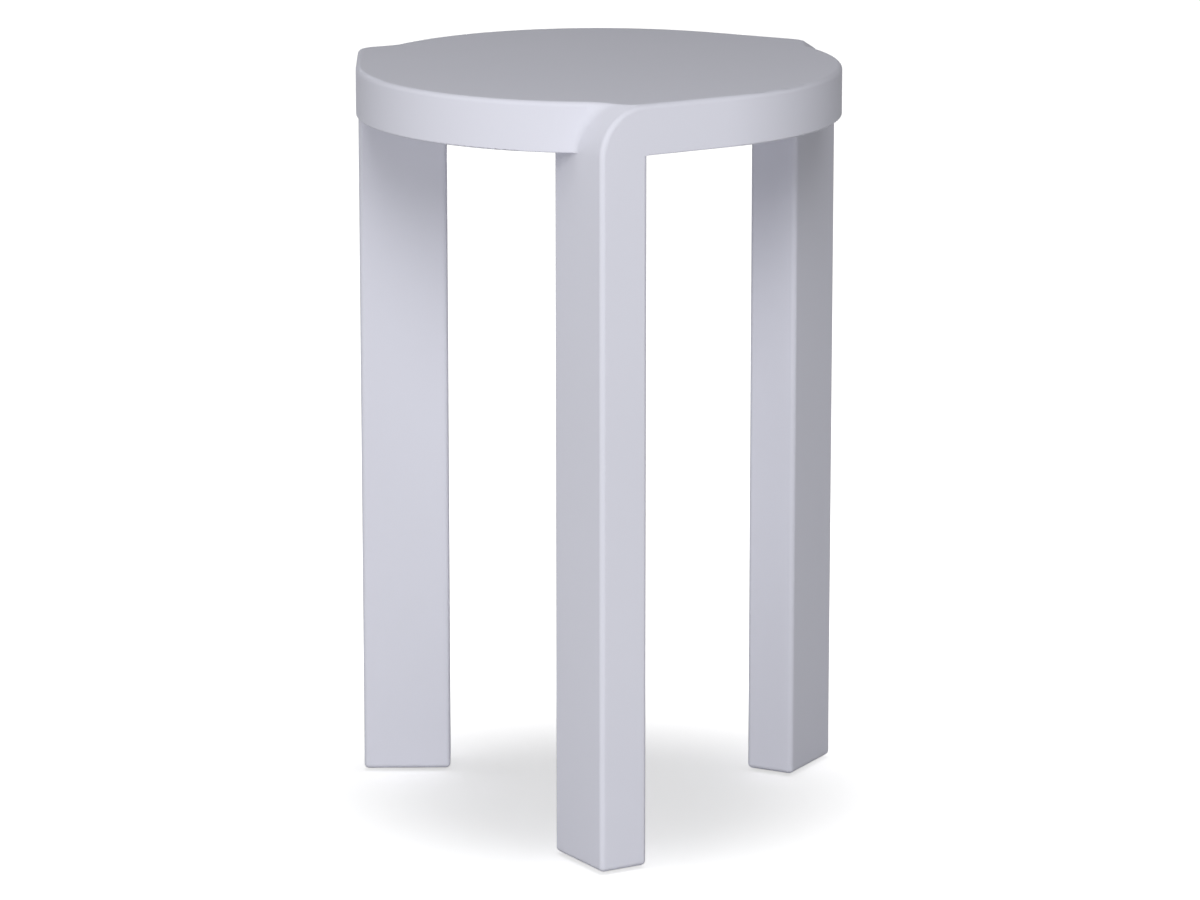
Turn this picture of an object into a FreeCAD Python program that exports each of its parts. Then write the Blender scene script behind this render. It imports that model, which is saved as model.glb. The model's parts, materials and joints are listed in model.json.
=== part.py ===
import FreeCAD, Part
import math
import os

# Outdoor side table of welded, powder-coated aluminium, in millimetres.
# Origin: on the floor, under the middle of the table's box. +Z is up.
# Everything is drawn round the axis of the round top first, and moved to the origin at the end.
# Three flat legs stand round the top like a pinwheel. Each leg is drawn in its own frame, where
# +X points outwards to the tangent point of the round rim, and is then turned about the top's axis.
# Leg 1 stands in front (-Y), leg 2 at the back right and leg 3 at the back left.

# Overall form
overall_height = 610.0
rim_radius = 195.0
rim_height = 40.0
edge_radius = 4.0

# Legs: rectangular tubes whose narrow outer face lies on the tangent line of the rim
leg_width = 42.0
leg_depth = 72.0
leg_wall = 3.0
ridge_offset = 115.5

# Plates and bars of the top
panel_thickness = 5.0
band_thickness = 4.0
band_lower_round = 1.2
strip_thickness = 5.0
brace_height = 25.0
brace_thickness = 5.0

# Foot plates
foot_plate_thickness = 5.0
weep_hole_radius = 3.0

# Push-in glides under the foot plates
glide_inset = 20.0
glide_radius = 9.0
glide_height = 2.0
glide_edge_round = 0.8
stem_radius = 4.0
stem_clearance = 0.1
barb_overhang = 0.6
barb_length = 4.0
barb_tip_share = 0.6

# Layout
leg_count = 3
first_leg_angle = -60.0
full_turn = 360.0

# Making: how far a cut runs past what it cuts, the most of a wall that a rounding takes,
# and how little an edge may lean and still count as upright
overrun = 10.0
rounding_share = 0.85
lean_share = 0.001

Z_AXIS = FreeCAD.Vector(0, 0, 1)
X_AXIS = FreeCAD.Vector(1, 0, 0)
ORIGIN = FreeCAD.Vector(0, 0, 0)

# Heights, from the floor up
foot_top = glide_height + foot_plate_thickness
rim_bottom = overall_height - rim_height
panel_bottom = overall_height - panel_thickness

# The rolled shoulder takes the whole height of the rim, unless the leg is narrower than that
shoulder_radius = min(rim_height, leg_width)
shoulder_bottom = overall_height - shoulder_radius

# Places in a leg's own frame
leg_spacing_angle = full_turn / leg_count
leg_inner_x = rim_radius - leg_depth
leg_middle_x = rim_radius - leg_depth / 2
leg_side_y = leg_width - ridge_offset
leg_middle_y = leg_width / 2 - ridge_offset
shoulder_top_y = shoulder_radius - ridge_offset
band_end_y = min(shoulder_top_y, leg_side_y - leg_wall)

# Roundings, each limited by the wall that carries it
leg_edge_radius = min(edge_radius, leg_width / 2 * rounding_share)
panel_edge_radius = min(edge_radius, panel_thickness * rounding_share)
strip_edge_radius = min(edge_radius, strip_thickness * rounding_share)
foot_edge_radius = min(edge_radius, foot_plate_thickness * rounding_share)
band_edge_radius = min(band_lower_round, band_thickness * rounding_share)
glide_edge_radius = min(glide_edge_round, glide_height * rounding_share)


def vector(x, y, z):
    return FreeCAD.Vector(x, y, z)


def line(start, end):
    return Part.LineSegment(start, end).toShape()


def arc(start, middle, end):
    return Part.Arc(start, middle, end).toShape()


def box(x_low, x_high, y_low, y_high, z_low, z_high):
    """A block between two corners."""
    return Part.makeBox(x_high - x_low, y_high - y_low, z_high - z_low, vector(x_low, y_low, z_low))


def upright_cylinder(radius, x, y, z_low, z_high):
    return Part.makeCylinder(radius, z_high - z_low, vector(x, y, z_low), Z_AXIS)


def turned(shape, angle):
    """A copy of the shape, turned about the top's axis."""
    copy = shape.copy()
    copy.rotate(ORIGIN, Z_AXIS, angle)
    return copy


def leg_angles():
    return [first_leg_angle + leg_spacing_angle * number for number in range(leg_count)]


def is_upright(edge):
    start, end = edge.Vertexes[0].Point, edge.Vertexes[-1].Point
    return math.hypot(start.x - end.x, start.y - end.y) < edge.Length * lean_share


def leg_block(inset, upright_radius, z_low, z_high):
    """The leg's section as a block, drawn in by the inset, with its upright edges rounded."""
    block = box(
        leg_inner_x + inset, rim_radius - inset,
        inset - ridge_offset, leg_side_y - inset,
        z_low, z_high,
    )
    if upright_radius <= 0:
        return block
    return block.makeFillet(upright_radius, [edge for edge in block.Edges if is_upright(edge)])


def rim_profile(inner_radius, z_low, z_high, upper_round, lower_round):
    """A section of the rim in the XZ plane, with its outer edges rounded."""
    arc_middle_share = 1 - math.sqrt(2) / 2
    points = [vector(inner_radius, 0, z_low)]
    edges = []

    def line_to(point):
        edges.append(line(points[-1], point))
        points.append(point)

    def arc_to(middle, end):
        edges.append(arc(points[-1], middle, end))
        points.append(end)

    line_to(vector(rim_radius - lower_round, 0, z_low))
    if lower_round > 0:
        inward = lower_round * arc_middle_share
        arc_to(vector(rim_radius - inward, 0, z_low + inward), vector(rim_radius, 0, z_low + lower_round))
    line_to(vector(rim_radius, 0, z_high - upper_round))
    if upper_round > 0:
        inward = upper_round * arc_middle_share
        arc_to(vector(rim_radius - inward, 0, z_high - inward), vector(rim_radius - upper_round, 0, z_high))
    line_to(vector(inner_radius, 0, z_high))
    line_to(points[0])
    return Part.Face(Part.Wire(edges))


def along_tangent(profile, y_low, y_high):
    """The rim's section drawn along the tangent line, which is parallel to Y."""
    moved = profile.copy()
    moved.translate(vector(0, y_low, 0))
    return moved.extrude(vector(0, y_high - y_low, 0))


def round_the_rim(profile, angle):
    """The rim's section turned round the top's axis, from the tangent point."""
    return profile.revolve(ORIGIN, Z_AXIS, angle)


def ring_angle():
    """How far the round part of the rim goes on from a tangent point: into the next leg's shoulder."""
    shoulder_angle = math.degrees(math.asin(-shoulder_top_y / rim_radius))
    return leg_spacing_angle - shoulder_angle / 2


def top_panel():
    """The flat plate of the top: a round core, rounded ring sectors and a straight wing at each leg."""
    core_radius = rim_radius - panel_thickness
    ring_inner_radius = core_radius - panel_thickness
    wing_profile = rim_profile(leg_inner_x, panel_bottom, overall_height, panel_edge_radius, 0)
    ring_profile = rim_profile(ring_inner_radius, panel_bottom, overall_height, panel_edge_radius, 0)
    wing = along_tangent(wing_profile, shoulder_top_y, 0)
    ring = round_the_rim(ring_profile, ring_angle())
    pieces = []
    for angle in leg_angles():
        pieces.append(turned(wing, angle))
        pieces.append(turned(ring, angle))
    core = upright_cylinder(core_radius, 0, 0, panel_bottom, overall_height)
    return core.multiFuse(pieces).removeSplitter()


def room_for_leg():
    """Where a leg and its rolled shoulder leave no place for the end of a rim band."""
    reach = rim_radius + overrun
    low = rim_bottom - overrun
    below_shoulder = box(0, reach, -ridge_offset, reach, low, shoulder_bottom)
    beside_end = box(0, reach, band_end_y, reach, low, overall_height + overrun)
    return below_shoulder.fuse(beside_end)


def rim_band():
    """A flat bar on edge: straight off its leg, then round the circle and into the next leg."""
    profile = rim_profile(rim_radius - band_thickness, rim_bottom, panel_bottom, 0, band_edge_radius)
    straight = along_tangent(profile, leg_side_y, 0)
    rolled = round_the_rim(profile, ring_angle()).cut(turned(room_for_leg(), leg_spacing_angle))
    return straight.fuse(rolled).removeSplitter()


def shoulder_cylinder(radius, x_low, x_high):
    """A cylinder on the axis that the leg's wide face rolls over."""
    base = vector(x_low, shoulder_top_y, shoulder_bottom)
    return Part.makeCylinder(radius, x_high - x_low, base, X_AXIS)


def shoulder_corner():
    """The block above a leg's wide face in which the shoulder's quarter circle lies."""
    return box(
        leg_inner_x - overrun, rim_radius + overrun,
        -ridge_offset - overrun, shoulder_top_y,
        shoulder_bottom, overall_height + overrun,
    )


def outer_circle(cylinder):
    """The edge round the outer end of a shoulder cylinder."""
    return max(cylinder.Edges, key=lambda edge: edge.BoundBox.XMin)


def shoulder():
    """A strip rolled to a quarter circle, cut to the round rim at its inner end."""
    solid = shoulder_cylinder(shoulder_radius, leg_inner_x, rim_radius)
    rounded = solid.makeFillet(strip_edge_radius, [outer_circle(solid)])
    bore = shoulder_cylinder(shoulder_radius - strip_thickness, leg_inner_x - overrun, rim_radius + overrun)
    round_top = rim_profile(0, rim_bottom, overall_height, panel_edge_radius, 0)
    disc = round_top.revolve(ORIGIN, Z_AXIS, full_turn)
    return rounded.cut(bore).common(shoulder_corner()).cut(disc)


def leg():
    """A rectangular tube, notched at the top for the shoulder strip and the end of a rim band."""
    outside = leg_block(0, leg_edge_radius, foot_top, panel_bottom)
    sharp_edge_at_band = box(
        rim_radius - leg_edge_radius, rim_radius,
        leg_side_y - leg_edge_radius, leg_side_y,
        rim_bottom, panel_bottom,
    )
    bore_radius = max(leg_edge_radius - leg_wall, 0)
    bore = leg_block(leg_wall, bore_radius, foot_top - overrun, panel_bottom + overrun)
    tube = outside.fuse(sharp_edge_at_band).removeSplitter().cut(bore)
    wide = overrun + overrun
    under_strip = shoulder_cylinder(shoulder_radius - strip_thickness, leg_inner_x - wide, rim_radius + wide)
    inside_band = upright_cylinder(rim_radius - band_thickness, 0, 0, rim_bottom, overall_height + wide)
    return tube.cut(shoulder_corner().cut(under_strip).cut(inside_band))


def glide_places():
    """The centres of a foot's two glides, by name."""
    return {
        "outer": vector(rim_radius - glide_inset, leg_middle_y, 0),
        "inner": vector(leg_inner_x + glide_inset, leg_middle_y, 0),
    }


def foot_plate():
    """The plate that closes a tube, with two glide holes and a weep hole between them."""
    block = leg_block(0, leg_edge_radius, glide_height, foot_top)
    lower_edges = [edge for edge in block.Edges if edge.BoundBox.ZMax < foot_top - foot_edge_radius]
    plate = block.makeFillet(foot_edge_radius, lower_edges)
    for place in glide_places().values():
        plate = plate.cut(upright_cylinder(stem_radius, place.x, place.y, 0, foot_top + overrun))
    return plate.cut(upright_cylinder(weep_hole_radius, leg_middle_x, leg_middle_y, 0, foot_top + overrun))


def glide():
    """A nylon glide: a flat round head, a stem through the foot plate and a barbed tip."""
    head = upright_cylinder(glide_radius, 0, 0, 0, glide_height)
    lower_edge = min(head.Edges, key=lambda edge: edge.BoundBox.ZMax)
    head = head.makeFillet(glide_edge_radius, [lower_edge])
    barb_base = foot_top + stem_clearance
    stem = upright_cylinder(stem_radius - stem_clearance, 0, 0, 0, barb_base)
    barb_radius = stem_radius + barb_overhang
    barb_tip_radius = barb_radius * barb_tip_share
    barb = Part.makeCone(barb_radius, barb_tip_radius, barb_length, vector(0, 0, barb_base), Z_AXIS)
    return head.fuse(stem).fuse(barb).removeSplitter()


def brace():
    """A flat bar on edge under the panel, mitred at the centre and cut to the leg's inner face."""
    half = brace_thickness / 2
    mitre = half / math.tan(math.radians(leg_spacing_angle / 2))
    reach = math.hypot(leg_inner_x, leg_middle_y) + brace_thickness
    low = panel_bottom - brace_height
    points = [
        vector(0, 0, low),
        vector(mitre, -half, low),
        vector(reach, -half, low),
        vector(reach, half, low),
        vector(mitre, half, low),
    ]
    sides = [line(points[i - 1], points[i]) for i in range(len(points))]
    bar = Part.Face(Part.Wire(sides)).extrude(vector(0, 0, brace_height))
    towards_leg = math.degrees(math.atan2(leg_middle_y, leg_inner_x))
    return turned(bar, towards_leg).cut(leg_block(0, 0, foot_top, panel_bottom))


def all_pieces():
    """Every piece of the table by its name."""
    pieces = {"top_panel": top_panel()}
    repeated = {
        "rim_band": rim_band(),
        "leg": leg(),
        "shoulder": shoulder(),
        "foot_plate": foot_plate(),
        "brace": brace(),
    }
    for number, angle in enumerate(leg_angles(), start=1):
        for name, shape in repeated.items():
            pieces[f"{name}_{number}"] = turned(shape, angle)
        for side, place in glide_places().items():
            placed = glide()
            placed.translate(place)
            pieces[f"glide_{number}_{side}"] = turned(placed, angle)
    return pieces


def single_solid(shape):
    """The one solid of a piece; a cut may have wrapped it in a compound."""
    if len(shape.Solids) != 1:
        raise ValueError(f"{len(shape.Solids)} solids where one was expected")
    return shape.Solids[0]


def floor_middle(shapes):
    """The point on the floor under the middle of the box that holds all the shapes."""
    extent = Part.makeCompound(shapes).optimalBoundingBox(False)
    return vector((extent.XMin + extent.XMax) / 2, (extent.YMin + extent.YMax) / 2, 0)


def main():
    os.makedirs("parts", exist_ok=True)
    pieces = all_pieces()
    top_axis = ORIGIN - floor_middle(list(pieces.values()))
    print("the axis of the round top stands at", round(top_axis.x, 4), round(top_axis.y, 4))
    for name, shape in pieces.items():
        solid = single_solid(shape.translated(top_axis))
        solid.exportStep(f"parts/{name}.step")
        print(name, "volume", round(solid.Volume), "valid", solid.isValid())


main()
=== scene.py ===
"""Outdoor side table: the looks of its coat, its ground seams, its welds and its glides, and a plain stage.

The file is laid out as an add-on and is run as a script. Every length is in metres.
"""

import json
import math

import bmesh
import bpy
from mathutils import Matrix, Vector


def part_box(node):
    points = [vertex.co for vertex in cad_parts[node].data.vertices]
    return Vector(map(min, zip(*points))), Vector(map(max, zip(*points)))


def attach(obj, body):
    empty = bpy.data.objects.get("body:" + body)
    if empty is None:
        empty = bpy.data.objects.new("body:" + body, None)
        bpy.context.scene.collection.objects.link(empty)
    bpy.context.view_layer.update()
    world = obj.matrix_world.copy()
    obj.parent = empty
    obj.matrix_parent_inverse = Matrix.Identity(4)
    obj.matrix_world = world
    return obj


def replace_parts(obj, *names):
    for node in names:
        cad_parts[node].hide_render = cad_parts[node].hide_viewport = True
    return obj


bl_info = {
    "name": "Pinwheel side table",
    "version": (1, 0, 0),
    "blender": (4, 5, 0),
    "location": "3D View > Sidebar > Side table",
    "description": "Coat, ground seams, welds, glides and stage of an outdoor side table",
    "category": "Object",
}

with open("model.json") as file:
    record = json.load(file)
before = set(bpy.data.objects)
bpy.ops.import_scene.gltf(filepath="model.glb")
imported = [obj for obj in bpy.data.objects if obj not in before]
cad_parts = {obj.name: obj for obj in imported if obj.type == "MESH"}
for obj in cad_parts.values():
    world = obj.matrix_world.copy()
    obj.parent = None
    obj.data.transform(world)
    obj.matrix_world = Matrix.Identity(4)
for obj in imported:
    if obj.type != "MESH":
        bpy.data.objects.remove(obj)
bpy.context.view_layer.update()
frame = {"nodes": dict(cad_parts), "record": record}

BODY = "root"
COAT_MATERIAL = "powder_coat"
COAT_SLOT = "white_powder_coat"
NYLON_SLOT = "white_nylon"
LEG_TURNS = (-60.0, 60.0, 180.0)

# The axis of the round top, and the sizes of the leg that stands square to the frame's own axes
TOP_AXIS = Vector(next(m["pos_m"] for m in frame["record"]["mounts"] if m["name"] == "tabletop"))
LEG_LOW, LEG_HIGH = (Vector(corner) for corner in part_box("leg_3"))
SHOULDER_LOW, SHOULDER_HIGH = (Vector(corner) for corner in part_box("shoulder_3"))
RIM_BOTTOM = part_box("rim_band_3")[0][2]
TOP_HEIGHT = TOP_AXIS.z
RIM_RADIUS = TOP_AXIS.x - LEG_LOW.x
RIDGE_OFFSET = LEG_HIGH.y - TOP_AXIS.y
SHOULDER_RADIUS = SHOULDER_HIGH.z - SHOULDER_LOW.z

LEG_DEPTH = LEG_HIGH.x - LEG_LOW.x
LEG_WIDTH = LEG_HIGH.y - LEG_LOW.y
FOOT_TOP = LEG_LOW.z
BRACE_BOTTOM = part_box("brace_3")[0][2]
PANEL_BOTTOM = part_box("top_panel")[0][2]
GLIDE_LOW, GLIDE_HIGH = (Vector(corner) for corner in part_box("glide_3_outer"))
HEAD_RADIUS = (GLIDE_HIGH.x - GLIDE_LOW.x) / 2
HEAD_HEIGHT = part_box("foot_plate_3")[0][2]

# Sizes of the frame's pieces that their boxes don't tell
EDGE_ROUND = 0.004
LOWER_ROUND = 0.0012
BAND_THICKNESS = 0.004
BRACE_THICKNESS = 0.005
HEAD_ROUND = 0.0008
STEM_RADIUS = 0.0039
BARB_BASE = FOOT_TOP + 0.0001
BARB_RADIUS = 0.0046
BARB_TIP_RADIUS = 0.00276

# A seam's last angle on the roll, and how deep its edges lie, as shares of its sunk depth
SEAM_END = math.radians(89)
UNDER_TOP = 0.01
UNDER_RIDGE = 0.02

# Where the stitches start: as shares of a brace, and in degrees round the rim
BRACE_STITCHES = (0.30, 0.72)
RIM_STITCHES_FROM = 8
RIM_STITCHES_SPREAD = 70

# The unevenness of a weld bead, as lengths and as a share of its radius, and what keeps its ends blunt
BEND_LENGTH = 0.006
SWELL_LENGTH = 0.004
SWELL = 0.2
BLUNT_END = 0.1

# The flat part of a glide's gate dimple, as a share of its radius
GATE_FLAT = 0.7

# How finely the forms are divided, and the angles above which their edges stay sharp
POINTS_PER_RIPPLE = 6
BEAD_SIDES = 12
ARC_STEPS = 8
ROUNDING_STEPS = 6
GLIDE_SIDES = 64
SEAM_SHARP = math.radians(30)
GLIDE_SHARP = math.radians(40)

# The coat's marks: sizes as shares of the orange peel's size, tones as shares of the coat's colour
GRAIN_SIZE = 0.2
FLOW_SIZE = 30
CLOUD_SIZE = 60
COAT_DARKEST = 0.975
COAT_LIGHTEST = 1.015
CLOUD_ROUGHNESS = 0.08
GRAIN_ROUGHNESS = 0.04
GRAIN_RELIEF = 0.2
FLOW_RELIEF = 2.0
COAT_BUMP = 0.6
COAT_SHINE = 0.1

# The nylon's marks
NYLON_GRAIN_SIZE = 0.0004
NYLON_CLOUD_SIZE = 0.006
NYLON_DARKEST = 0.93
NYLON_LEAST_ROUGHNESS = 0.5
NYLON_CLOUD_ROUGHNESS = 0.1
NYLON_RELIEF = 0.00003
NYLON_BUMP = 0.5
NYLON_SHINE = 0.4

# The floor's reach to each side, and the light of the low lamps at the sides as shares of that in front
FLOOR_REACH = 8.0
LOW_LEFT_SHARE = 0.6
LOW_RIGHT_SHARE = 0.22


def coated_nodes():
    """The names of the nodes that wear the powder coat."""
    return [s["node"] for s in frame["record"]["subparts"] if s["material_slot"] == COAT_SLOT]


class CoatSettings(bpy.types.PropertyGroup):
    colour: bpy.props.FloatVectorProperty(
        name="Coat colour", description="Colour of the powder coat", subtype="COLOR",
        default=(0.745, 0.750, 0.835), min=0, max=1, size=3,
    )
    roughness: bpy.props.FloatProperty(
        name="Roughness", description="How matt the coat is", default=0.6, min=0, max=1, subtype="FACTOR",
    )
    peel_size: bpy.props.FloatProperty(
        name="Peel size", description="Width of a dimple of the orange peel", default=0.0022, unit="LENGTH",
    )
    peel_depth: bpy.props.FloatProperty(
        name="Peel depth", description="Depth of the orange peel", default=0.00002, unit="LENGTH",
    )


class NylonSettings(bpy.types.PropertyGroup):
    colour: bpy.props.FloatVectorProperty(
        name="Nylon colour", description="Colour of the moulded glides", subtype="COLOR",
        default=(0.70, 0.70, 0.69), min=0, max=1, size=3,
    )
    gate_radius: bpy.props.FloatProperty(
        name="Gate radius", description="Radius of the dimple where the nylon was let in", default=0.0014,
        unit="LENGTH",
    )
    gate_depth: bpy.props.FloatProperty(
        name="Gate depth", description="Depth of that dimple", default=0.0004, unit="LENGTH",
    )
    groove_radius: bpy.props.FloatProperty(
        name="Groove radius", description="Radius of the fine ring in the underside", default=0.0060,
        unit="LENGTH",
    )
    groove_depth: bpy.props.FloatProperty(
        name="Groove depth", description="Depth of that ring", default=0.0002, unit="LENGTH",
    )


class SeamSettings(bpy.types.PropertyGroup):
    low_radius: bpy.props.FloatProperty(
        name="Low radius", description="Radius of the ground hollow at the rim's lower edge", default=0.008,
        unit="LENGTH",
    )
    high_radius: bpy.props.FloatProperty(
        name="High radius", description="Radius of the ground hollow at the top", default=0.030,
        unit="LENGTH",
    )
    lean: bpy.props.FloatProperty(
        name="Lean", description="How far the ground face leans off the shoulder's roll at the top",
        default=math.radians(50), unit="ROTATION",
    )
    sunk: bpy.props.FloatProperty(
        name="Sunk", description="How far the seam's metal reaches into the pieces beside it",
        default=0.001, unit="LENGTH",
    )
    sections: bpy.props.IntProperty(name="Sections", description="Sections along the roll", default=60, min=4)
    facets: bpy.props.IntProperty(name="Facets", description="Facets across the hollow", default=16, min=2)
    edge_facets: bpy.props.IntProperty(
        name="Edge facets", description="Facets across the rounded edge of the top", default=8, min=2,
    )


class WeldSettings(bpy.types.PropertyGroup):
    bead_radius: bpy.props.FloatProperty(
        name="Bead radius", description="Radius of a weld bead", default=0.0024, unit="LENGTH",
    )
    ripple_length: bpy.props.FloatProperty(
        name="Ripple length", description="From one ripple of a bead to the next", default=0.0020,
        unit="LENGTH",
    )
    ripple_depth: bpy.props.FloatProperty(
        name="Ripple depth", description="Share of the bead's radius that the ripples take", default=0.14,
        min=0, max=1, subtype="FACTOR",
    )
    wander: bpy.props.FloatProperty(
        name="Wander", description="How far a bead strays from its line", default=0.0004, unit="LENGTH",
    )
    stitch: bpy.props.FloatProperty(
        name="Stitch", description="Length of a bead along a brace or the rim", default=0.026, unit="LENGTH",
    )
    rim_stitches: bpy.props.IntProperty(
        name="Rim stitches", description="Beads along one third of the rim", default=4, min=1,
    )


class StageSettings(bpy.types.PropertyGroup):
    lens: bpy.props.FloatProperty(
        name="Lens", description="Focal length on a sensor 36 mm wide", default=166.643,
        subtype="DISTANCE_CAMERA",
    )
    distance: bpy.props.FloatProperty(
        name="Distance", description="From the axis of the top to the camera, along the floor",
        default=4.4111, unit="LENGTH",
    )
    height: bpy.props.FloatProperty(
        name="Height", description="Height of the camera above the floor", default=1.29435, unit="LENGTH",
    )
    tilt: bpy.props.FloatProperty(
        name="Tilt", description="How far the camera looks down", default=math.radians(12.8028),
        unit="ROTATION",
    )
    turn: bpy.props.FloatProperty(
        name="Turn", description="How far the camera stands round to the left", default=math.radians(1.1482),
        unit="ROTATION",
    )
    aim_turn: bpy.props.FloatProperty(
        name="Aim", description="How far the camera looks past the axis, to the right",
        default=math.radians(0.0109), unit="ROTATION",
    )
    key_light: bpy.props.FloatProperty(
        name="Key light", description="Light of the lamp in front of the table and above it", default=0.50,
        min=0,
    )
    side_light: bpy.props.FloatProperty(
        name="Side light", description="Light of the lamp at the left", default=0.16, min=0,
    )
    low_light: bpy.props.FloatProperty(
        name="Low light", description="Light of the low lamps in front of the table", default=0.18, min=0,
    )
    back_light: bpy.props.FloatProperty(
        name="Back light", description="Light of the lamp behind the table, lower than its top", default=0.40,
        min=0,
    )
    room_light: bpy.props.FloatProperty(
        name="Room light", description="Strength of the light from all round", default=0.10, min=0,
    )
    floor_light: bpy.props.FloatProperty(
        name="Floor light", description="Light of the lamp over the floor", default=0.45, min=0,
    )
    floor_colour: bpy.props.FloatVectorProperty(
        name="Floor colour", description="Colour of the floor", subtype="COLOR",
        default=(0.85, 0.85, 0.85), min=0, max=1, size=3,
    )
    # The floor's glow right by the table, lower than the plain white further out: a painted shadow under the
    # table
    floor_glow: bpy.props.FloatProperty(
        name="Floor glow", description="What brings the floor by the table up towards white in the picture",
        default=0.58, min=0,
    )
    # The painted shadow is full out to the first of these distances and fades to plain white by the second
    shade_start: bpy.props.FloatProperty(
        name="Shade start", description="From the top's axis to where the glow starts to rise", default=0.10,
        unit="LENGTH",
    )
    shade_end: bpy.props.FloatProperty(
        name="Shade end", description="From the top's axis to where the floor is plain white", default=0.38,
        unit="LENGTH",
    )


class Number:
    """A socket that carries a number, so that sums on it are written as plain sums."""

    def __init__(self, nodes, socket):
        self.nodes = nodes
        self.socket = socket

    def join(self, operation, first, second):
        return self.nodes.node("ShaderNodeMath", {"operation": operation}, {0: first, 1: second})

    def __add__(self, other):
        return self.join("ADD", self, other)

    def __sub__(self, other):
        return self.join("SUBTRACT", self, other)

    def __mul__(self, other):
        return self.join("MULTIPLY", self, other)

    def __truediv__(self, other):
        return self.join("DIVIDE", self, other)

    __radd__ = __add__
    __rmul__ = __mul__

    def __rsub__(self, other):
        return self.join("SUBTRACT", other, self)


class Nodes:
    """A node tree, emptied, with one way to add a node."""

    def __init__(self, tree):
        self.tree = tree
        self.tree.nodes.clear()

    def node(self, kind, settings=None, sockets=None, output=0):
        """A new node: its settings first, then the values or links of its sockets. Gives one output."""
        node = self.tree.nodes.new(kind)
        for name, setting in (settings or {}).items():
            setattr(node, name, setting)
        for name, value in (sockets or {}).items():
            if isinstance(value, Number):
                self.tree.links.new(value.socket, node.inputs[name])
            else:
                node.inputs[name].default_value = value
        if not len(node.outputs):
            return None
        return Number(self, node.outputs[output])

    def noise(self, place, size, detail=2.0, output="Fac"):
        """Soft noise from 0 to 1 whose lumps are about the given size across."""
        sockets = {"Vector": place, "Scale": 1 / size, "Detail": detail}
        return self.node("ShaderNodeTexNoise", None, sockets, output)


class Shader(Nodes):
    """The node tree of a material or a world."""

    def __init__(self, owner):
        owner.use_nodes = True
        super().__init__(owner.node_tree)


def opaque(colour):
    return (*colour, 1.0)


def coat_material():
    """White satin powder coat: fine orange peel, a little unevenness in tone and in gloss."""
    settings = bpy.context.scene.table_coat
    material = bpy.data.materials.new(COAT_MATERIAL)
    shader = Shader(material)
    place = shader.node("ShaderNodeTexCoord", None, None, "Object")
    peel = shader.noise(place, settings.peel_size, 1.0)
    grain = shader.noise(place, settings.peel_size * GRAIN_SIZE, 0.0)
    flow = shader.noise(place, settings.peel_size * FLOW_SIZE, 1.0)
    cloud = shader.noise(place, settings.peel_size * CLOUD_SIZE, 3.0)
    dark = opaque([c * COAT_DARKEST for c in settings.colour])
    light = opaque([min(1.0, c * COAT_LIGHTEST) for c in settings.colour])
    tone = shader.node(
        "ShaderNodeMix", {"data_type": "RGBA"}, {"Factor": cloud, "A": dark, "B": light}, "Result"
    )
    least_roughness = settings.roughness - (CLOUD_ROUGHNESS + GRAIN_ROUGHNESS) / 2
    roughness = least_roughness + cloud * CLOUD_ROUGHNESS + grain * GRAIN_ROUGHNESS
    relief = peel + grain * GRAIN_RELIEF + flow * FLOW_RELIEF
    bump = shader.node(
        "ShaderNodeBump", None,
        {"Strength": COAT_BUMP, "Distance": settings.peel_depth, "Height": relief}, "Normal",
    )
    surface = shader.node(
        "ShaderNodeBsdfPrincipled", None,
        {"Base Color": tone, "Roughness": roughness, "Normal": bump, "Specular IOR Level": COAT_SHINE},
    )
    shader.node("ShaderNodeOutputMaterial", None, {"Surface": surface})
    return material


def nylon_material():
    """White moulded nylon: slightly milky, with a fine moulded grain."""
    settings = bpy.context.scene.table_nylon
    material = bpy.data.materials.new("moulded_nylon")
    shader = Shader(material)
    place = shader.node("ShaderNodeTexCoord", None, None, "Object")
    grain = shader.noise(place, NYLON_GRAIN_SIZE, 1.0)
    cloud = shader.noise(place, NYLON_CLOUD_SIZE, 2.0)
    light = opaque(settings.colour)
    dark = opaque([c * NYLON_DARKEST for c in settings.colour])
    tone = shader.node(
        "ShaderNodeMix", {"data_type": "RGBA"}, {"Factor": cloud, "A": dark, "B": light}, "Result"
    )
    roughness = cloud * NYLON_CLOUD_ROUGHNESS + NYLON_LEAST_ROUGHNESS
    bump = shader.node(
        "ShaderNodeBump", None, {"Strength": NYLON_BUMP, "Distance": NYLON_RELIEF, "Height": grain}, "Normal"
    )
    surface = shader.node(
        "ShaderNodeBsdfPrincipled", None,
        {"Base Color": tone, "Roughness": roughness, "Normal": bump, "Specular IOR Level": NYLON_SHINE},
    )
    shader.node("ShaderNodeOutputMaterial", None, {"Surface": surface})
    return material


def dress(node, material):
    """Gives a carried-over node its material."""
    mesh = frame["nodes"][node].data
    mesh.materials.clear()
    mesh.materials.append(material)


def by_leg(point, turn):
    """A point of a leg's own frame, in the table's frame. The leg's frame stands on the top's axis."""
    angle = math.radians(turn)
    x = point.x * math.cos(angle) - point.y * math.sin(angle)
    y = point.x * math.sin(angle) + point.y * math.cos(angle)
    return Vector((TOP_AXIS.x + x, TOP_AXIS.y + y, point.z))


def ground_face(angle, settings):
    """The face ground over the roll at one angle: its end, the ways up and off it, and its hollow's radius.

    It leaves the ridge's own rounding and leans ever more towards the rim.
    """
    share = angle / math.radians(90)
    lean = settings.lean * share ** 3
    off_roll = Vector((0, -math.cos(angle), math.sin(angle)))
    off_face = off_roll * math.cos(lean) + Vector((math.sin(lean), 0, 0))
    up_face = off_roll * math.sin(lean) - Vector((math.cos(lean), 0, 0))
    roll_axis = Vector((RIM_RADIUS - EDGE_ROUND, SHOULDER_RADIUS - RIDGE_OFFSET, RIM_BOTTOM))
    end = roll_axis + off_roll * (SHOULDER_RADIUS - EDGE_ROUND) + off_face * EDGE_ROUND
    radius = settings.low_radius + (settings.high_radius - settings.low_radius) * share ** 2
    return end, up_face, off_face, radius


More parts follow.
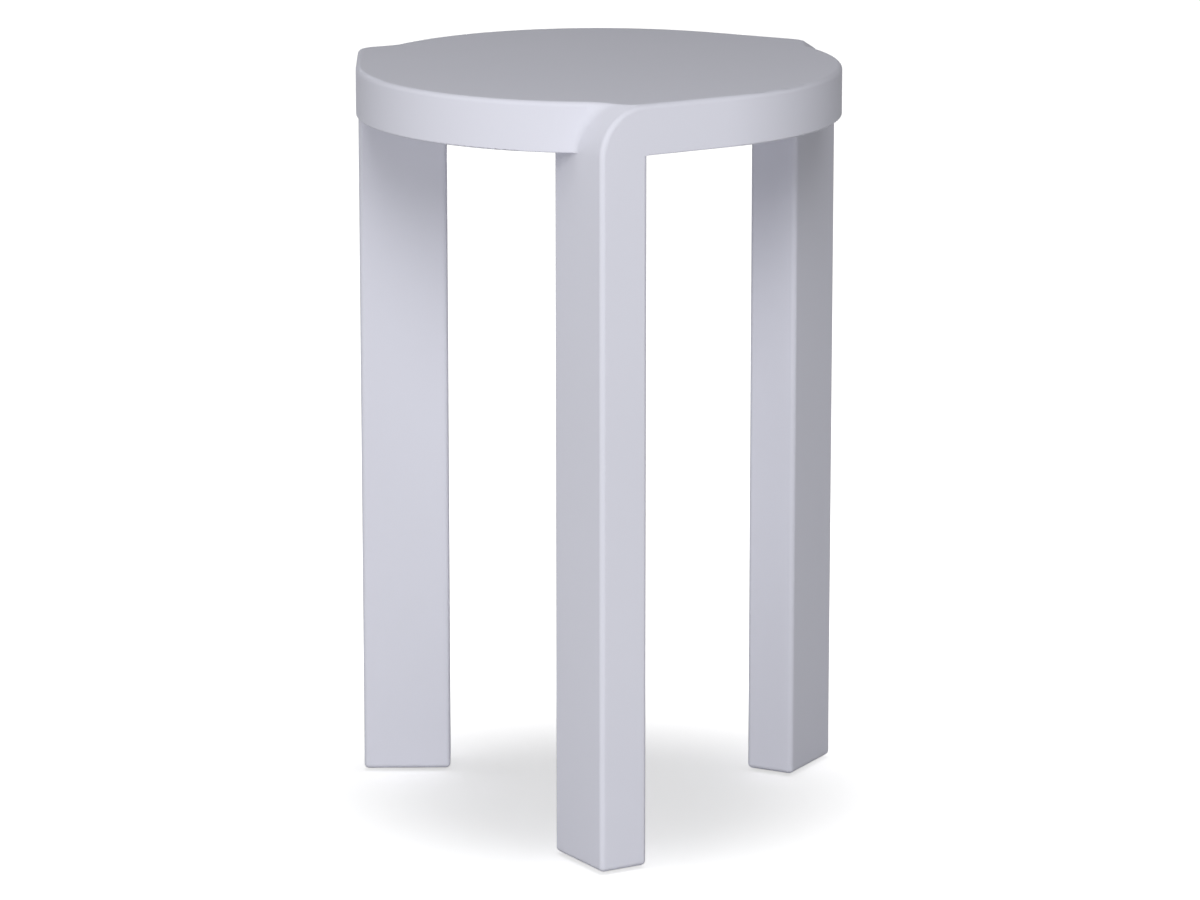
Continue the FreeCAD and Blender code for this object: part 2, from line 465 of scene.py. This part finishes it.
def hollow_centre(end, up_face, off_face, radius):
    """The middle of the ball that lies in the corner between the ground face and the rim."""
    start = end + off_face * radius
    below = max(0, LOWER_ROUND - (start.z - RIM_BOTTOM))
    reach = RIM_RADIUS - LOWER_ROUND + math.sqrt(LOWER_ROUND ** 2 - below ** 2) + radius
    steep = up_face.xy.length_squared
    across = start.xy.dot(up_face.xy)
    rise = (-across - math.sqrt(across ** 2 - steep * (start.xy.length_squared - reach ** 2))) / steep
    return start + up_face * max(0, rise)


def seam_section(angle, settings):
    """A closed section of a seam: over the top's rounded edge, down the hollow, to the ridge, back inside."""
    end, up_face, off_face, radius = ground_face(angle, settings)
    centre = hollow_centre(end, up_face, off_face, radius)
    up = Vector((0, 0, 1))
    towards_rim = Vector((-centre.x, -centre.y, 0)).normalized()
    opening = towards_rim.angle(-off_face)
    down = (-off_face - towards_rim * math.cos(opening)) / math.sin(opening)
    level = TOP_HEIGHT - settings.sunk * UNDER_TOP
    over = centre.z - (TOP_HEIGHT - EDGE_ROUND)
    ring = []
    first = 0
    if over > 0:
        first = min(opening, math.asin(min(1, over / ((radius + EDGE_ROUND) * -down.z))))
        outwards = -(towards_rim * math.cos(first) + down * math.sin(first))
        edge_centre = centre - outwards * (radius + EDGE_ROUND)
        if edge_centre.z > TOP_HEIGHT - EDGE_ROUND:
            edge_centre -= up_face * ((edge_centre.z - TOP_HEIGHT + EDGE_ROUND) / up_face.z)
        inner = towards_rim * (EDGE_ROUND - RIM_RADIUS)
        ring.append(Vector((inner.x, inner.y, TOP_HEIGHT - settings.sunk)))
        ring.append(Vector((inner.x, inner.y, level)))
        for step in range(settings.edge_facets):
            turned = up.slerp(outwards, step / settings.edge_facets, up)
            point = edge_centre + turned * EDGE_ROUND
            ring.append(Vector((point.x, point.y, min(point.z, level))))
        if first == opening:
            centre = edge_centre + off_face * (EDGE_ROUND + radius)
    else:
        ring.extend([centre + towards_rim * (radius + settings.sunk)] * (settings.edge_facets + 2))
    for step in range(settings.facets + 1):
        turn = first + (opening - first) * step / settings.facets
        ring.append(centre + (towards_rim * math.cos(turn) + down * math.sin(turn)) * radius)
    ring.append(end - off_face * settings.sunk * UNDER_RIDGE)
    under = end - off_face * settings.sunk
    ring.append(under)
    ring.append(Vector((math.sqrt(RIM_RADIUS ** 2 - under.y ** 2) - settings.sunk, under.y, under.z)))
    return ring


def seam_angles(settings):
    """The angles of the roll at which a seam has sections: close together at the rim's lower edge."""
    first = math.asin(LOWER_ROUND / (SHOULDER_RADIUS + settings.low_radius))
    lower = [first * (1 - math.cos(math.radians(a))) for a in (0, 30, 60)]
    upper = [first + (SEAM_END - first) * step / settings.sections for step in range(settings.sections + 1)]
    return lower + upper


def tube_mesh(name, rings):
    """A closed mesh through rings of points, with flat ends."""
    made = bmesh.new()
    loops = [[made.verts.new(point) for point in ring] for ring in rings]
    for before, after in zip(loops, loops[1:]):
        for i in range(len(before)):
            made.faces.new((before[i - 1], before[i], after[i], after[i - 1]))
    made.faces.new(loops[0])
    made.faces.new(reversed(loops[-1]))
    bmesh.ops.remove_doubles(made, verts=made.verts, dist=1e-7)
    bmesh.ops.recalc_face_normals(made, faces=made.faces)
    mesh = bpy.data.meshes.new(name)
    made.to_mesh(mesh)
    made.free()
    return mesh


def shade(mesh, sharp_above):
    """Smooth faces, with sharp edges where the surface turns by more than an angle."""
    for face in mesh.polygons:
        face.use_smooth = True
    mesh.set_sharp_from_angle(angle=sharp_above)


def add_piece(mesh, material):
    """Puts a finished mesh into the scene as a piece that is fixed to the table."""
    mesh.materials.append(material)
    piece = bpy.data.objects.new(mesh.name, mesh)
    bpy.context.scene.collection.objects.link(piece)
    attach(piece, BODY)
    return piece


def bead_nodes(material):
    """Geometry nodes that turn lines into weld beads: rippled like laid coins, run out at the ends."""
    group = bpy.data.node_groups.new("weld_bead", "GeometryNodeTree")
    group.interface.new_socket("Lines", in_out="INPUT", socket_type="NodeSocketGeometry")
    group.interface.new_socket("Beads", in_out="OUTPUT", socket_type="NodeSocketGeometry")
    for name in ("bead_radius", "ripple_length", "ripple_depth", "wander"):
        group.interface.new_socket(name, in_out="INPUT", socket_type="NodeSocketFloat")
    nodes = Nodes(group)
    given = group.nodes.new("NodeGroupInput")
    lines, bead, ripple, depth, wander = (Number(nodes, socket) for socket in list(given.outputs)[:5])
    curves = nodes.node("GeometryNodeMeshToCurve", None, {"Mesh": lines})
    fine = nodes.node(
        "GeometryNodeResampleCurve", {"mode": "LENGTH"},
        {"Curve": curves, "Length": ripple / POINTS_PER_RIPPLE},
    )
    place = nodes.node("GeometryNodeInputPosition")
    stray = nodes.node(
        "ShaderNodeVectorMath", {"operation": "SUBTRACT"},
        {0: nodes.noise(place, BEND_LENGTH, 1.0, "Color"), 1: (0.5, 0.5, 0.5)},
    )
    offset = nodes.node("ShaderNodeVectorMath", {"operation": "SCALE"}, {0: stray, "Scale": wander})
    laid = nodes.node("GeometryNodeSetPosition", None, {"Geometry": fine, "Offset": offset})
    along = nodes.node("GeometryNodeSplineParameter", None, None, "Length")
    whole = nodes.node("GeometryNodeSplineLength", None, None, "Length")
    wave = nodes.node("ShaderNodeMath", {"operation": "SINE"}, {0: along * math.pi / ripple})
    crests = nodes.node("ShaderNodeMath", {"operation": "ABSOLUTE"}, {0: wave})
    from_end = nodes.node("ShaderNodeMath", {"operation": "MINIMUM"}, {0: along, 1: whole - along})
    run_out = nodes.node(
        "ShaderNodeMath", {"operation": "POWER", "use_clamp": True}, {0: from_end / bead + BLUNT_END, 1: 0.5}
    )
    uneven = nodes.noise(place, SWELL_LENGTH, 1.0) * SWELL + (1 - SWELL / 2)
    radius = bead * (1 - depth + crests * depth) * run_out * uneven
    section = nodes.node("GeometryNodeCurvePrimitiveCircle", None, {"Resolution": BEAD_SIDES, "Radius": 1.0})
    solid = nodes.node(
        "GeometryNodeCurveToMesh", None,
        {"Curve": laid, "Profile Curve": section, "Scale": radius, "Fill Caps": True},
    )
    smooth = nodes.node("GeometryNodeSetShadeSmooth", None, {"Geometry": solid})
    real = nodes.node("GeometryNodeRealizeInstances", None, {"Geometry": smooth})
    dressed = nodes.node("GeometryNodeSetMaterial", None, {"Geometry": real, "Material": material})
    given_back = group.nodes.new("NodeGroupOutput")
    group.links.new(dressed.socket, given_back.inputs["Beads"])
    return group


def round_point(centre, radius, angle, height):
    """A point of a level circle."""
    return Vector((centre.x + radius * math.cos(angle), centre.y + radius * math.sin(angle), height))


def straight(start, end, height):
    """A level line between two places of a leg's frame."""
    return [Vector((*start, height)), Vector((*end, height))]


def weld_lines(settings):
    """The lines of all welds under the top, in a leg's frame, each along the corner between two pieces."""
    inner_x = RIM_RADIUS - LEG_DEPTH
    side_y = LEG_WIDTH - RIDGE_OFFSET
    middle = Vector((inner_x, LEG_WIDTH / 2 - RIDGE_OFFSET))
    way = middle.normalized()
    beside = Vector((-way.y, way.x)) * (BRACE_THICKNESS / 2)
    band_inside = RIM_RADIUS - BAND_THICKNESS
    ridge_end_x = math.sqrt(band_inside ** 2 - RIDGE_OFFSET ** 2)
    margin = settings.bead_radius * 2
    lines = [
        straight((inner_x, -RIDGE_OFFSET + EDGE_ROUND), (inner_x, side_y - EDGE_ROUND), PANEL_BOTTOM),
        straight((inner_x + EDGE_ROUND, side_y), (band_inside - margin, side_y), PANEL_BOTTOM),
        straight((inner_x + EDGE_ROUND, -RIDGE_OFFSET), (ridge_end_x - margin, -RIDGE_OFFSET), PANEL_BOTTOM),
    ]
    for side in (-1, 1):
        foot = middle + way * ((inner_x - (middle + beside * side).x) / way.x) + beside * side
        lines.append([Vector((*foot, BRACE_BOTTOM + margin / 2)), Vector((*foot, PANEL_BOTTOM - margin / 2))])
        for share in BRACE_STITCHES:
            place = middle * share + beside * side
            start = place - way * settings.stitch / 2
            lines.append(straight(start, start + way * settings.stitch, PANEL_BOTTOM))
    arc = settings.stitch / band_inside
    for number in range(settings.rim_stitches):
        first = math.radians(RIM_STITCHES_FROM + RIM_STITCHES_SPREAD * number / settings.rim_stitches)
        turns = [first + arc * step / ARC_STEPS for step in range(ARC_STEPS + 1)]
        lines.append([round_point(Vector((0, 0)), band_inside, turn, PANEL_BOTTOM) for turn in turns])
    return lines


def line_mesh(name, lines):
    """A mesh of nothing but edges, along lines of points."""
    mesh = bpy.data.meshes.new(name)
    points = []
    edges = []
    for line in lines:
        edges.extend((len(points) + i, len(points) + i + 1) for i in range(len(line) - 1))
        points.extend(line)
    mesh.from_pydata(points, edges, [])
    return mesh


def beads_from(mesh, group, settings):
    """The plain mesh that the bead nodes make of a mesh of lines."""
    carrier = bpy.data.objects.new(mesh.name, mesh)
    bpy.context.scene.collection.objects.link(carrier)
    modifier = carrier.modifiers.new("beads", "NODES")
    modifier.node_group = group
    for item in group.interface.items_tree:
        if item.in_out == "INPUT" and item.socket_type == "NodeSocketFloat":
            modifier[item.identifier] = getattr(settings, item.name)
    graph = bpy.context.evaluated_depsgraph_get()
    made = bpy.data.meshes.new_from_object(carrier.evaluated_get(graph))
    bpy.data.objects.remove(carrier)
    bpy.data.meshes.remove(mesh)
    return made


def glide_profile(settings):
    """Half of a glide's outline, from the middle of its underside to the tip, as radius and height."""
    groove = settings.groove_depth
    profile = [
        (0, settings.gate_depth),
        (settings.gate_radius * GATE_FLAT, settings.gate_depth),
        (settings.gate_radius, 0),
        (settings.groove_radius - groove * 2, 0),
        (settings.groove_radius - groove, groove),
        (settings.groove_radius + groove, groove),
        (settings.groove_radius + groove * 2, 0),
    ]
    for step in range(ROUNDING_STEPS + 1):
        turn = math.radians(90) * step / ROUNDING_STEPS
        out = HEAD_RADIUS - HEAD_ROUND + HEAD_ROUND * math.sin(turn)
        profile.append((out, HEAD_ROUND - HEAD_ROUND * math.cos(turn)))
    return profile + [
        (HEAD_RADIUS, HEAD_HEIGHT),
        (STEM_RADIUS, HEAD_HEIGHT),
        (STEM_RADIUS, BARB_BASE),
        (BARB_RADIUS, BARB_BASE),
        (BARB_TIP_RADIUS, GLIDE_HIGH.z),
        (0, GLIDE_HIGH.z),
    ]


def glide_rings(node, settings):
    """The rings of a turned glide, round the middle of a glide of the frame."""
    low, high = (Vector(corner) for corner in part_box(node))
    middle = (low + high) / 2
    turns = [math.radians(360) * step / GLIDE_SIDES for step in range(GLIDE_SIDES)]
    rings = []
    for radius, height in glide_profile(settings):
        rings.append([round_point(middle, radius, turn, height) for turn in turns])
    return rings


def seen_directly(shader):
    """1 for rays from the camera and for mirrored or refracted ones, 0 for the light that falls on things."""
    path = shader.tree.nodes.new("ShaderNodeLightPath")
    seen = Number(shader, path.outputs["Is Camera Ray"])
    for name in ("Is Glossy Ray", "Is Transmission Ray"):
        seen = seen.join("MAXIMUM", seen, Number(shader, path.outputs[name]))
    return seen


def make_floor(settings):
    """A wide pale floor that takes the table's shadow from its own lamp, with a painted shadow as well: its
    glow seen from the camera is lower round the top's axis.
    """
    mesh = bpy.data.meshes.new("floor")
    corners = [(x * FLOOR_REACH, y * FLOOR_REACH, 0) for x, y in ((-1, -1), (1, -1), (1, 1), (-1, 1))]
    mesh.from_pydata(corners, [], [(0, 1, 2, 3)])
    floor = bpy.data.objects.new("floor", mesh)
    bpy.context.scene.collection.objects.link(floor)
    material = bpy.data.materials.new("pale_floor")
    shader = Shader(material)
    matt = shader.node("ShaderNodeBsdfDiffuse", None, {"Color": opaque(settings.floor_colour)})
    place = shader.node("ShaderNodeTexCoord", None, None, "Object")
    from_axis = shader.node(
        "ShaderNodeVectorMath", {"operation": "DISTANCE"}, {0: place, 1: (TOP_AXIS.x, TOP_AXIS.y, 0)}, "Value"
    )
    # Painted shadow: the glow seen from the camera is low by the table and rises to plain white further out,
    # on top of the real shadow from the floor's lamp
    strength = shader.node(
        "ShaderNodeMapRange", {"interpolation_type": "SMOOTHSTEP"},
        {"Value": from_axis, "From Min": settings.shade_start, "From Max": settings.shade_end,
         "To Min": settings.floor_glow, "To Max": 1},
    )
    glow = shader.node("ShaderNodeEmission", None, {"Strength": seen_directly(shader) * strength})
    both = shader.node("ShaderNodeAddShader", None, {0: matt, 1: glow})
    shader.node("ShaderNodeOutputMaterial", None, {"Surface": both})
    mesh.materials.append(material)
    return floor


def make_room(settings):
    """Even light from all round, seen as plain white."""
    world = bpy.data.worlds.new("room")
    bpy.context.scene.world = world
    shader = Shader(world)
    strength = seen_directly(shader) * (1 - settings.room_light) + settings.room_light
    light = shader.node("ShaderNodeBackground", None, {"Color": (1, 1, 1, 1), "Strength": strength})
    shader.node("ShaderNodeOutputWorld", None, {"Surface": light})


def around_top(distance, turn, height):
    """A place at a distance from the top's axis, turned to the left of the front."""
    return Vector((TOP_AXIS.x - distance * math.sin(turn), TOP_AXIS.y - distance * math.cos(turn), height))


def make_lamp(name, turn, rise, distance, size, light):
    """A square soft lamp that faces the table. A light of 1 shows a white face square to it as white."""
    lamp = bpy.data.lights.new(name, "AREA")
    lamp.shape = "SQUARE"
    lamp.size = size
    lamp.energy = light * (math.pi * distance) ** 2
    made = bpy.data.objects.new(name, lamp)
    bpy.context.scene.collection.objects.link(made)
    made.visible_camera = False
    target = Vector((TOP_AXIS.x, TOP_AXIS.y, TOP_HEIGHT / 2))
    turn = math.radians(turn)
    rise = math.radians(rise)
    made.location = around_top(distance * math.cos(rise), turn, target.z + distance * math.sin(rise))
    made.rotation_euler = (target - made.location).to_track_quat("-Z", "Y").to_euler()
    return made


def light_only(lamp, floor, state):
    """Makes a lamp light the floor and nothing else (INCLUDE), or all but the floor (EXCLUDE)."""
    group = bpy.data.collections.new(f"{lamp.name}_and_floor")
    group.objects.link(floor)
    group.collection_objects[0].light_linking.link_state = state
    lamp.light_linking.receiver_collection = group


def make_lamps(settings, floor):
    """Soft lamps round the table, each with its turn to the left, rise, distance, size and light.

    The floor has a lamp of its own, straight above the table, so that the shadow lies softly under it.
    """
    lamps = {
        "key": (0, 35, 3.0, 1.3, settings.key_light),
        "side": (90, 35, 3.0, 1.3, settings.side_light),
        "low_front": (0, 5, 3.0, 1.0, settings.low_light),
        "low_left": (30, 5, 3.0, 1.0, settings.low_light * LOW_LEFT_SHARE),
        "low_right": (-80, 5, 3.0, 1.0, settings.low_light * LOW_RIGHT_SHARE),
        "back": (180, 0, 3.0, 0.6, settings.back_light),
    }
    for name, place_and_light in lamps.items():
        light_only(make_lamp(name, *place_and_light), floor, "EXCLUDE")
    light_only(make_lamp("above", 0, 88, 2.6, 1.3, settings.floor_light), floor, "INCLUDE")


def make_camera(settings):
    """The camera of the photograph."""
    lens = bpy.data.cameras.new("camera")
    lens.lens = settings.lens
    camera = bpy.data.objects.new("camera", lens)
    bpy.context.scene.collection.objects.link(camera)
    camera.location = around_top(settings.distance, settings.turn, settings.height)
    camera.rotation_euler = (math.radians(90) - settings.tilt, 0, -settings.turn - settings.aim_turn)
    bpy.context.scene.camera = camera


class SIDETABLE_OT_coat(bpy.types.Operator):
    """Give every coated piece its white powder coat"""

    bl_idname = "sidetable.coat"
    bl_label = "Powder coat"

    def execute(self, context):
        material = coat_material()
        for node in coated_nodes():
            dress(node, material)
        return {"FINISHED"}


class SIDETABLE_OT_seams(bpy.types.Operator):
    """Fill the corners between the shoulders and the rim, as a weld ground hollow does"""

    bl_idname = "sidetable.seams"
    bl_label = "Ground seams"

    def execute(self, context):
        settings = context.scene.table_seams
        for number, turn in enumerate(LEG_TURNS, start=1):
            rings = []
            for angle in seam_angles(settings):
                rings.append([by_leg(point, turn) for point in seam_section(angle, settings)])
            mesh = tube_mesh(f"ground_seam_{number}", rings)
            shade(mesh, SEAM_SHARP)
            add_piece(mesh, bpy.data.materials[COAT_MATERIAL])
        return {"FINISHED"}


class SIDETABLE_OT_welds(bpy.types.Operator):
    """Lay the weld beads that hold the braces, the legs and the rim to the underside of the panel"""

    bl_idname = "sidetable.welds"
    bl_label = "Weld beads"

    def execute(self, context):
        settings = context.scene.table_welds
        material = bpy.data.materials[COAT_MATERIAL]
        group = bead_nodes(material)
        for number, turn in enumerate(LEG_TURNS, start=1):
            lines = [[by_leg(point, turn) for point in line] for line in weld_lines(settings)]
            mesh = beads_from(line_mesh("weld_lines", lines), group, settings)
            mesh.name = f"weld_beads_{number}"
            mesh.materials.clear()
            add_piece(mesh, material)
        return {"FINISHED"}


class SIDETABLE_OT_glides(bpy.types.Operator):
    """Put a moulded glide, with its gate dimple and fine ring, in the place of each plain one"""

    bl_idname = "sidetable.glides"
    bl_label = "Glides"

    def execute(self, context):
        settings = context.scene.table_nylon
        material = nylon_material()
        for subpart in frame["record"]["subparts"]:
            node = subpart["node"]
            if subpart["material_slot"] == NYLON_SLOT:
                mesh = tube_mesh(f"moulded_{node}", glide_rings(node, settings))
                shade(mesh, GLIDE_SHARP)
                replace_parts(add_piece(mesh, material), node)
        return {"FINISHED"}


class SIDETABLE_OT_stage(bpy.types.Operator):
    """Set up the floor, the light and the camera"""

    bl_idname = "sidetable.stage"
    bl_label = "Stage"

    def execute(self, context):
        settings = context.scene.table_stage
        floor = make_floor(settings)
        make_room(settings)
        make_lamps(settings, floor)
        make_camera(settings)
        context.scene.view_settings.view_transform = "Standard"
        return {"FINISHED"}


class SIDETABLE_PT_panel(bpy.types.Panel):
    bl_idname = "SIDETABLE_PT_panel"
    bl_label = "Side table"
    bl_space_type = "VIEW_3D"
    bl_region_type = "UI"
    bl_category = "Side table"

    def draw(self, context):
        for operator in OPERATORS:
            self.layout.operator(operator.bl_idname)


SETTINGS = {
    "table_coat": CoatSettings,
    "table_nylon": NylonSettings,
    "table_seams": SeamSettings,
    "table_welds": WeldSettings,
    "table_stage": StageSettings,
}
OPERATORS = (
    SIDETABLE_OT_stage,
    SIDETABLE_OT_coat,
    SIDETABLE_OT_seams,
    SIDETABLE_OT_welds,
    SIDETABLE_OT_glides,
)
CLASSES = (*SETTINGS.values(), *OPERATORS, SIDETABLE_PT_panel)


def register():
    for cls in CLASSES:
        bpy.utils.register_class(cls)
    for name, cls in SETTINGS.items():
        setattr(bpy.types.Scene, name, bpy.props.PointerProperty(type=cls))


def unregister():
    for name in SETTINGS:
        delattr(bpy.types.Scene, name)
    for cls in reversed(CLASSES):
        bpy.utils.unregister_class(cls)


def main():
    register()
    bpy.ops.sidetable.stage()
    bpy.ops.sidetable.coat()
    bpy.ops.sidetable.seams()
    bpy.ops.sidetable.welds()
    bpy.ops.sidetable.glides()


if __name__ == "__main__":
    main()
